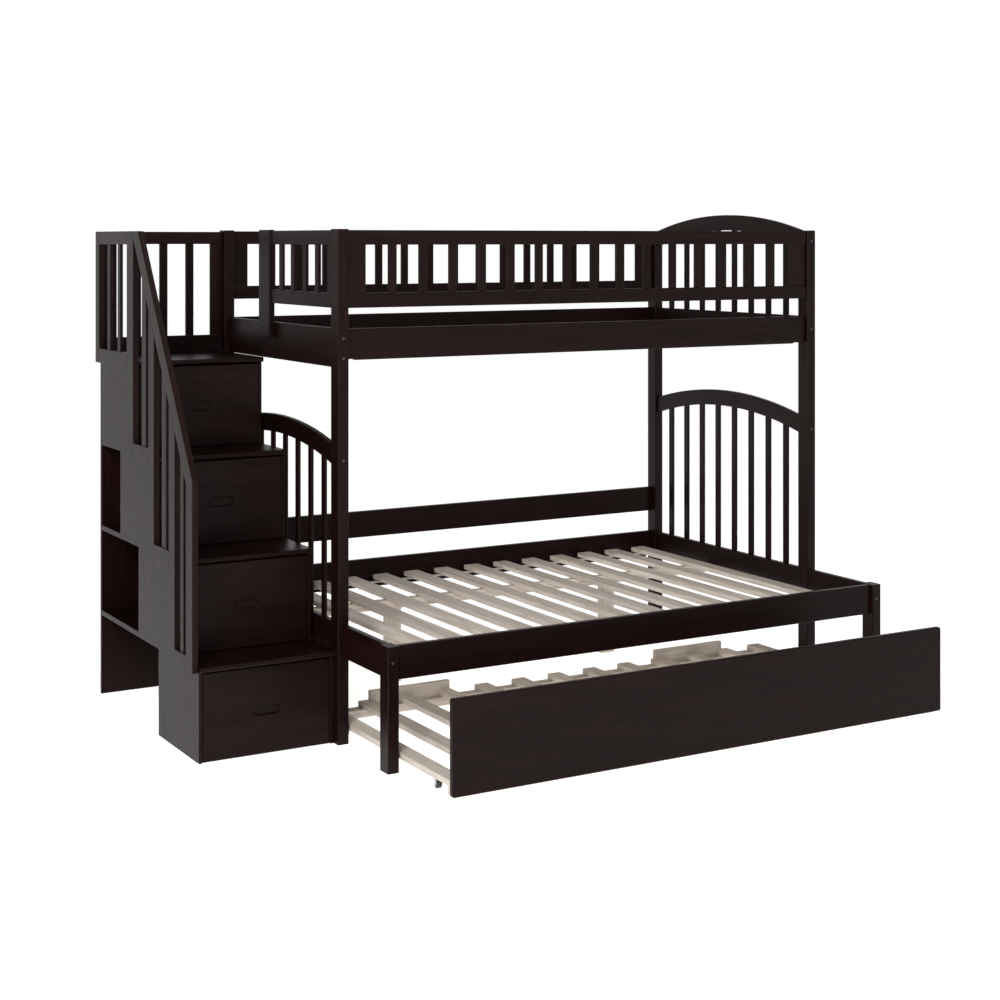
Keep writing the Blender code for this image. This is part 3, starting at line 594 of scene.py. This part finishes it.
def stair_railing():
    """Level guard beside the top step, then the sloping handrail down to the newel."""
    low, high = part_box("stair_railing")
    low.x += CAP_ROOM
    x = (low.x - SHIFT.x, high.x - SHIFT.x)
    thin = centred(sum(x) / 2, SPINDLE[1])
    made = Pieces("stair_railing_boards", ESPRESSO)
    end = RAILING_POST[0]
    outline = [
        (NEWEL[0], slope_top(NEWEL[0])),
        (NEWEL[0], slope_top(NEWEL[0]) - SLOPE_RAIL_DEPTH),
        (end, slope_top(end) - SLOPE_RAIL_DEPTH),
        (end, high.z),
        (NEWEL[0] + (high.z - SLOPE_AT_NEWEL) / SLOPE, high.z),
    ]
    shifted = [(SHIFT.y + y, z) for y, z in outline]
    made.prism(shifted, (low.x, high.x), "x", "z", FINE_EASE)
    placed(made, x, RAILING_POST, (SECTION_RAILS[0][0], high.z), "z", FINE_EASE)
    for (front, back), section in zip((*STILES, NEWEL), (*SECTION_RAILS[1:], SECTION_RAILS[2])):
        upright = [
            (front, section[0]),
            (back, section[0]),
            (back, slope_top(back) - SLOPE_RAIL_DEPTH),
            (front, slope_top(front) - SLOPE_RAIL_DEPTH),
        ]
        shifted = [(SHIFT.y + y, z) for y, z in upright]
        made.prism(shifted, (low.x, high.x), "x", "z", JOINT_EASE)
    starts = (RAILING_POST[0], STILES[0][0], STILES[1][0])
    ends = (STILES[0][1], STILES[1][1], NEWEL[1])
    for start, stop, section in zip(starts, ends, SECTION_RAILS):
        placed(made, x, (stop, start), section, "y", JOINT_EASE)
    for (front, back), section in zip(BALUSTERS, SECTION_RAILS):
        head = slope_top(front) - SLOPE_RAIL_DEPTH / 2
        placed(made, thin, (front, back), (section[1] - BITE, head), "z", FINE_EASE)
    back_edge = high.y - SHIFT.y
    stile = (back_edge - RAILING_BACK_STILE, back_edge)
    placed(made, x, stile, (RAILING_LEVEL_RAILS[0][0], high.z), "z", FINE_EASE)
    for z in RAILING_LEVEL_RAILS:
        placed(made, x, (RAILING_POST[1], stile[0]), z, "y", JOINT_EASE)
    tall = (RAILING_LEVEL_RAILS[0][1] - BITE, RAILING_LEVEL_RAILS[1][0] + BITE)
    for start in spread(RAILING_POST[1], stile[0], RAILING_LEVEL_SPINDLES, SPINDLE[0]):
        placed(made, thin, (start, start + SPINDLE[0]), tall, "z", FINE_EASE)
    made.finish("bed", ["stair_railing"])


def stair_back_guard():
    low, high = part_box("stair_back_guard")
    made = Pieces("stair_back_guard_boards", ESPRESSO)
    top = high.z - BACK_GUARD_TOP_RAIL
    made.board(low, (high.x, high.y, BACK_GUARD_LOW_TOP), "x")
    made.board((low.x, low.y, top), high, "x")
    thin = centred((low.y + high.y) / 2, SPINDLE[1])
    tall = (BACK_GUARD_LOW_TOP - BITE, top + BITE)
    ends = ((low.x, low.x + BACK_GUARD_STILES[0]), (high.x - BACK_GUARD_STILES[1], high.x))
    first = SHIFT.x + BACK_GUARD_FIRST
    rights = [first - number * BACK_GUARD_PITCH for number in range(BACK_GUARD_SPINDLES)]
    for left, right in (*ends, *((right - SPINDLE[0], right) for right in rights)):
        made.board((left, thin[0], tall[0]), (right, thin[1], tall[1]), "z", FINE_EASE)
    made.finish("bed", ["stair_back_guard"])


# ---------------------------------------------------------------- slats and supports
def slat_roll(name):
    low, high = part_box(name)
    made = Pieces(name + "_boards", PINE)
    middle = (low.x + high.x) / 2
    first = middle - SLAT_PITCH * (SLATS - 1) / 2
    bottom = high.z - SLAT_THICK
    for number in range(SLATS):
        x = centred(first + SLAT_PITCH * number, SLAT_WIDTH)
        made.board((x[0], low.y, bottom), (x[1], high.y, high.z), "y", FINE_EASE)
    webbing = {"x": WEBBING}
    for strap_middle in (low.y + STRAP_INSET, high.y - STRAP_INSET):
        y = centred(strap_middle, STRAP_WIDTH)
        start = (low.x + STRAP_END_GAP, y[0], low.z)
        stop = (high.x - STRAP_END_GAP, y[1], bottom - STRAP_GAP)
        made.board(start, stop, "x", STRAP_EASE, webbing)
    made.finish("bed", [name])


def center_support():
    low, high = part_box("center_support")
    made = Pieces("center_support_boards", PINE)
    beam_bottom = high.z - SUPPORT_BEAM_HEIGHT
    made.board((low.x, low.y, beam_bottom), high, "x", FINE_EASE)
    middle = (low.x + high.x) / 2
    y = centred((low.y + high.y) / 2, SUPPORT_LEG[1])
    for offset in SUPPORT_LEG_OFFSETS:
        x = centred(middle + offset, SUPPORT_LEG[0])
        made.board((x[0], y[0], low.z), (x[1], y[1], beam_bottom + SUPPORT_LEG_LAP), "z", FINE_EASE)
    made.finish("bed", ["center_support"])


# ---------------------------------------------------------------- drawers
def carve(target, cutter):
    cut = target.modifiers.new("cut", "BOOLEAN")
    cut.operation = "DIFFERENCE"
    cut.solver = "EXACT"
    cut.object = cutter
    bpy.context.view_layer.update()
    evaluated = target.evaluated_get(bpy.context.evaluated_depsgraph_get())
    result = bpy.data.meshes.new_from_object(evaluated)
    target.modifiers.clear()
    target.data = result
    bpy.data.objects.remove(cutter, do_unlink=True)


def plain_object(name, shape):
    mesh = bpy.data.meshes.new(name)
    shape.to_mesh(mesh)
    shape.free()
    thing = bpy.data.objects.new(name, mesh)
    bpy.context.scene.collection.objects.link(thing)
    return thing


def pull_cutter(middle, front):
    """A long slot with round ends, pushed back from the front face."""
    radius = PULL_HEIGHT / 2
    reach = PULL_LENGTH / 2 - radius
    ring = []
    for side, start in ((1, -math.pi / 2), (-1, math.pi / 2)):
        for step in range(PULL_STEPS + 1):
            angle = start + math.pi * step / PULL_STEPS
            x = middle.x + side * reach + radius * math.cos(angle)
            ring.append((x, front - CUTTER_REACH, middle.z + radius * math.sin(angle)))
    return plain_object("pull", pushed_outline(ring, (0.0, PULL_DEPTH + CUTTER_REACH, 0.0)))


def drawer_front(number):
    name = "drawer_front_%d" % number
    low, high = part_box(name)
    panel = plain_object(name + "_panel", block(low, high))
    carve(panel, pull_cutter((low + high) / 2, low.y))
    panel.data.materials.clear()
    panel.data.materials.append(ESPRESSO["x"])
    tag = panel.data.attributes.new("board", "FLOAT", "FACE")
    tag.data.foreach_set("value", [FRONT_STEP * number] * len(panel.data.polygons))
    for polygon in panel.data.polygons:
        polygon.use_smooth = True
    panel.data.set_sharp_from_angle(angle=SHARP_ANGLE)
    rounding = panel.modifiers.new("rounded_edges", "BEVEL")
    rounding.width = FRONT_EASE
    rounding.segments = 3
    rounding.limit_method = "ANGLE"
    rounding.angle_limit = SHARP_ANGLE
    rounding.harden_normals = True
    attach(panel, "drawer_%d" % number)
    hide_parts(name)


# ---------------------------------------------------------------- trundle
def trundle_panel():
    """A wide board with rounded corners; each corner's third value is its first angle in half turns."""
    low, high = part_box("trundle_front_panel")
    radius = PANEL_CORNER
    corners = (
        (high.x - radius, high.z - radius, 0.0),
        (low.x + radius, high.z - radius, 0.5),
        (low.x + radius, low.z + radius, 1.0),
        (high.x - radius, low.z + radius, 1.5),
    )
    outline = []
    for x, z, turn in corners:
        for step in range(PANEL_CORNER_STEPS + 1):
            angle = math.pi * (turn + step / (2 * PANEL_CORNER_STEPS))
            outline.append((x + radius * math.cos(angle), z + radius * math.sin(angle)))
    made = Pieces("trundle_panel_board", ESPRESSO)
    made.prism(outline, (low.y, high.y), "y", "x", EASE)
    made.finish("trundle", ["trundle_front_panel"])


def trundle_frame():
    low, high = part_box("trundle_frame")
    made = Pieces("trundle_frame_boards", PINE)
    middle = (low.x + high.x) / 2
    first = middle - TRUNDLE_SLAT_PITCH * (TRUNDLE_SLATS - 1) / 2
    front = low.y - SHIFT.y
    back = high.y - SHIFT.y
    ends = (low.x - SHIFT.x + TRUNDLE_INSET, high.x - SHIFT.x - TRUNDLE_INSET)
    for start in (front, back - TRUNDLE_BEAM_WIDTH - TRUNDLE_INSET):
        y = (start + TRUNDLE_INSET, start + TRUNDLE_BEAM_WIDTH)
        placed(made, ends, y, TRUNDLE_BEAM, "x", FINE_EASE)
    for number in range(TRUNDLE_SLATS):
        x = centred(first + TRUNDLE_SLAT_PITCH * number, TRUNDLE_SLAT_WIDTH)
        made.board((x[0], low.y, TRUNDLE_SLAT[0]), (x[1], high.y, TRUNDLE_SLAT[1]), "y", FINE_EASE)
    stop_y = (back - TRUNDLE_STOP_THICK - TRUNDLE_INSET, back - TRUNDLE_INSET)
    length = 2 * (middle - SHIFT.x)
    far_stop = (length - TRUNDLE_STOP[1], length - TRUNDLE_STOP[0])
    for x in (TRUNDLE_STOP, far_stop):
        placed(made, x, stop_y, (TRUNDLE_BEAM[1], high.z), "x", FINE_EASE)
    made.finish("trundle", ["trundle_frame"])


def turned(shape, profile, centre, segments, index):
    """Turn a profile of (along X, radius) points round the X axis through centre."""
    rings = []
    for along, radius in profile:
        ring = []
        for step in range(segments):
            angle = 2 * math.pi * step / segments
            offset = Vector((along, radius * math.cos(angle), radius * math.sin(angle)))
            ring.append(shape.verts.new(centre + offset))
        rings.append(ring)
    faces = []
    for first, second in zip(rings, rings[1:]):
        for step in range(segments):
            after = (step + 1) % segments
            faces.append(shape.faces.new((first[step], second[step], second[after], first[after])))
    faces.append(shape.faces.new(rings[0]))
    faces.append(shape.faces.new(reversed(rings[-1])))
    for face in faces:
        face.material_index = index
        face.smooth = True


def finish_turned(name, shape, materials, body, replaces):
    bmesh.ops.recalc_face_normals(shape, faces=shape.faces[:])
    thing = plain_object(name, shape)
    for material in materials:
        thing.data.materials.append(material)
    thing.data.set_sharp_from_angle(angle=TURNED_SHARP_ANGLE)
    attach(thing, body)
    if replaces:
        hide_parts(*replaces)


def caster(place):
    """A tyre with rounded shoulders on a dished hub, between the cheeks of a pressed bracket."""
    wheel = "trundle_wheel_" + place
    low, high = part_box(wheel)
    centre = (low + high) / 2
    half = (high.x - low.x) / 2
    radius = (high.z - low.z) / 2
    shape = bmesh.new()
    tyre = [(-half, radius * TYRE_BORE)]
    shoulder_steps = 4
    for step in range(shoulder_steps + 1):
        angle = math.pi / 2 * step / shoulder_steps
        along = half - TYRE_SHOULDER + TYRE_SHOULDER * math.cos(angle)
        tyre.append((-along, radius - TYRE_SHOULDER + TYRE_SHOULDER * math.sin(angle)))
    tyre += [(-along, reach) for along, reach in reversed(tyre)]
    turned(shape, tyre, centre, segments=40, index=0)
    boss, dish_start, dish_end, rim = (radius * share for share in HUB_RINGS)
    hub = [
        (-half - HUB_PROUD, HUB_BORE),
        (-half - HUB_PROUD, boss),
        (-half + HUB_DISH, dish_start),
        (-half + HUB_DISH, dish_end),
        (-half - HUB_RIM_PROUD, rim),
    ]
    hub += [(-along, reach) for along, reach in reversed(hub)]
    turned(shape, hub, centre, segments=32, index=1)
    finish_turned("caster_" + place, shape, (TYRE, CAP), "wheel_" + place, [wheel])

    bracket = Pieces("caster_bracket_" + place, {"z": ZINC})
    offset = half + CHEEK_GAP
    top = TRUNDLE_SLAT[0] - BRACKET_GAP
    for side in (-1, 1):
        near = centre.x + side * offset
        x = sorted((near, near + side * CHEEK_THICK))
        lower_corner = (x[0], centre.y - CHEEK_HALF_WIDTH, CHEEK_BOTTOM)
        bracket.board(lower_corner, (x[1], centre.y + CHEEK_HALF_WIDTH, top), "z", CHEEK_EASE)
    reach = offset + CHEEK_THICK
    x = (centre.x - reach - PLATE_OVERHANG, centre.x + reach + PLATE_OVERHANG)
    y = (centre.y - PLATE_HALF_WIDTH, centre.y + PLATE_HALF_WIDTH)
    bracket.board((x[0], y[0], top - PLATE_THICK), (x[1], y[1], top), "z", PLATE_EASE)
    bracket.finish("trundle", ())
    pin = bmesh.new()
    rivet = [(-reach - proud, wide) for proud, wide in RIVET_HEAD]
    rivet.append((-half, RIVET_SHAFT))
    rivet += [(-along, wide) for along, wide in reversed(rivet)]
    turned(pin, rivet, centre, segments=20, index=0)
    finish_turned("caster_pin_" + place, pin, (ZINC,), "trundle", ())


# ---------------------------------------------------------------- bolt covers
def cover(shape, centre, outward):
    """A shallow domed cap on a flat face."""
    turn = Vector((1.0, 0.0, 0.0)).rotation_difference(outward).to_matrix()
    profile = [
        (-CAP_SUNK, CAP_RADIUS),
        (CAP_HEIGHT * 0.4, CAP_RADIUS),
        (CAP_HEIGHT, CAP_RADIUS * 0.7),
        (CAP_HEIGHT * 1.1, CAP_RADIUS * 0.25),
    ]
    before = set(shape.verts)
    turned(shape, profile, Vector(), segments=20, index=0)
    made = [vert for vert in shape.verts if vert not in before]
    for vert in made:
        vert.co = turn @ vert.co + centre


def bolt_covers():
    shape = bmesh.new()
    forward = Vector((0.0, -1.0, 0.0))
    middles = {"left": POST_BOLT_INSET, "right": BED_LENGTH - POST_BOLT_INSET}
    for side, heights in POST_BOLTS.items():
        for z in heights:
            cover(shape, SHIFT + Vector((middles[side], 0.0, z)), forward)
        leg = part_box("short_leg_" + side)[0]
        cover(shape, Vector((leg.x + LEG_BOLT_INSET, leg.y, LEG_BOLT_HEIGHT)), forward)
    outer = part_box("stair_railing")[0].x + CAP_ROOM
    for y, z in RAILING_SCREWS:
        cover(shape, Vector((outer, SHIFT.y + y, z)), Vector((-1.0, 0.0, 0.0)))
    finish_turned("bolt_covers", shape, (CAP,), "bed", ())


# ---------------------------------------------------------------- camera, floor and light
def floor():
    material, _, shader = new_material("pale_floor")
    shader.inputs["Base Color"].default_value = (0.90, 0.90, 0.90, 1.0)
    shader.inputs["Roughness"].default_value = 0.85
    shader.inputs["Specular IOR Level"].default_value = 0.0
    shader.inputs["Emission Color"].default_value = (1.0, 1.0, 1.0, 1.0)
    shader.inputs["Emission Strength"].default_value = 0.72
    mesh = bpy.data.meshes.new("floor")
    around = ((-1, -1), (1, -1), (1, 1), (-1, 1))
    corners = [Vector((x * FLOOR_REACH, y * FLOOR_REACH, 0.0)) for x, y in around]
    mesh.from_pydata(corners, [], [(0, 1, 2, 3)])
    mesh.materials.append(material)
    thing = bpy.data.objects.new("floor", mesh)
    bpy.context.scene.collection.objects.link(thing)


def soft_light(name, place, aim, size, power):
    lamp = bpy.data.lights.new(name, "AREA")
    lamp.shape = "RECTANGLE"
    lamp.size = size[0]
    lamp.size_y = size[1]
    lamp.energy = power
    thing = bpy.data.objects.new(name, lamp)
    thing.location = place
    thing.rotation_euler = (Vector(aim) - Vector(place)).to_track_quat("-Z", "Y").to_euler()
    bpy.context.scene.collection.objects.link(thing)


def surroundings():
    world = bpy.data.worlds.new("studio")
    world.use_nodes = True
    tree = world.node_tree
    direction = tree.nodes.new("ShaderNodeTexCoord").outputs["Generated"]
    parts = tree.nodes.new("ShaderNodeSeparateXYZ")
    tree.links.new(direction, parts.inputs["Vector"])
    fading = ((0.18, (1.0, 1.0, 1.0)), (0.62, (0.16, 0.155, 0.155)))
    sky = ramp(tree, parts.outputs["Z"], fading)
    background = tree.nodes["Background"]
    tree.links.new(sky, background.inputs["Color"])
    background.inputs["Strength"].default_value = 1.02
    bpy.context.scene.world = world
    bpy.context.scene.view_settings.view_transform = "Standard"
    soft_light("key", place=(-3.8, -3.6, 3.0), aim=(0.2, -0.1, 0.4), size=(2.0, 2.0), power=230.0)
    soft_light("top", place=(1.0, -0.5, 5.5), aim=(0.3, 0.0, 0.0), size=(4.0, 3.0), power=60.0)


def camera():
    data = bpy.data.cameras.new("camera")
    data.lens = 63.54
    data.sensor_width = 36.0
    data.shift_y = -0.2601
    thing = bpy.data.objects.new("camera", data)
    thing.location = (-3.275, -5.5568, 1.6926)
    thing.rotation_euler = (math.radians(90.0), 0.0, math.radians(-30.11))
    bpy.context.scene.collection.objects.link(thing)
    bpy.context.scene.camera = thing


# ---------------------------------------------------------------- build
dress_boards()
for guard in ("upper_guard_front", "upper_guard_back"):
    long_guard(guard)
for panel in ("lower_arch_panel_left", "lower_arch_panel_right", "upper_arch_panel_right"):
    arch_panel(panel)
entry_guard()
stair_railing()
stair_back_guard()
for roll in ("lower_slat_roll", "upper_slat_roll"):
    slat_roll(roll)
center_support()
for drawer in STEP_NUMBERS:
    drawer_front(drawer)
trundle_panel()
trundle_frame()
for corner in ("front_left", "front_right", "back_left", "back_right"):
    caster(corner)
bolt_covers()
floor()
surroundings()
camera()
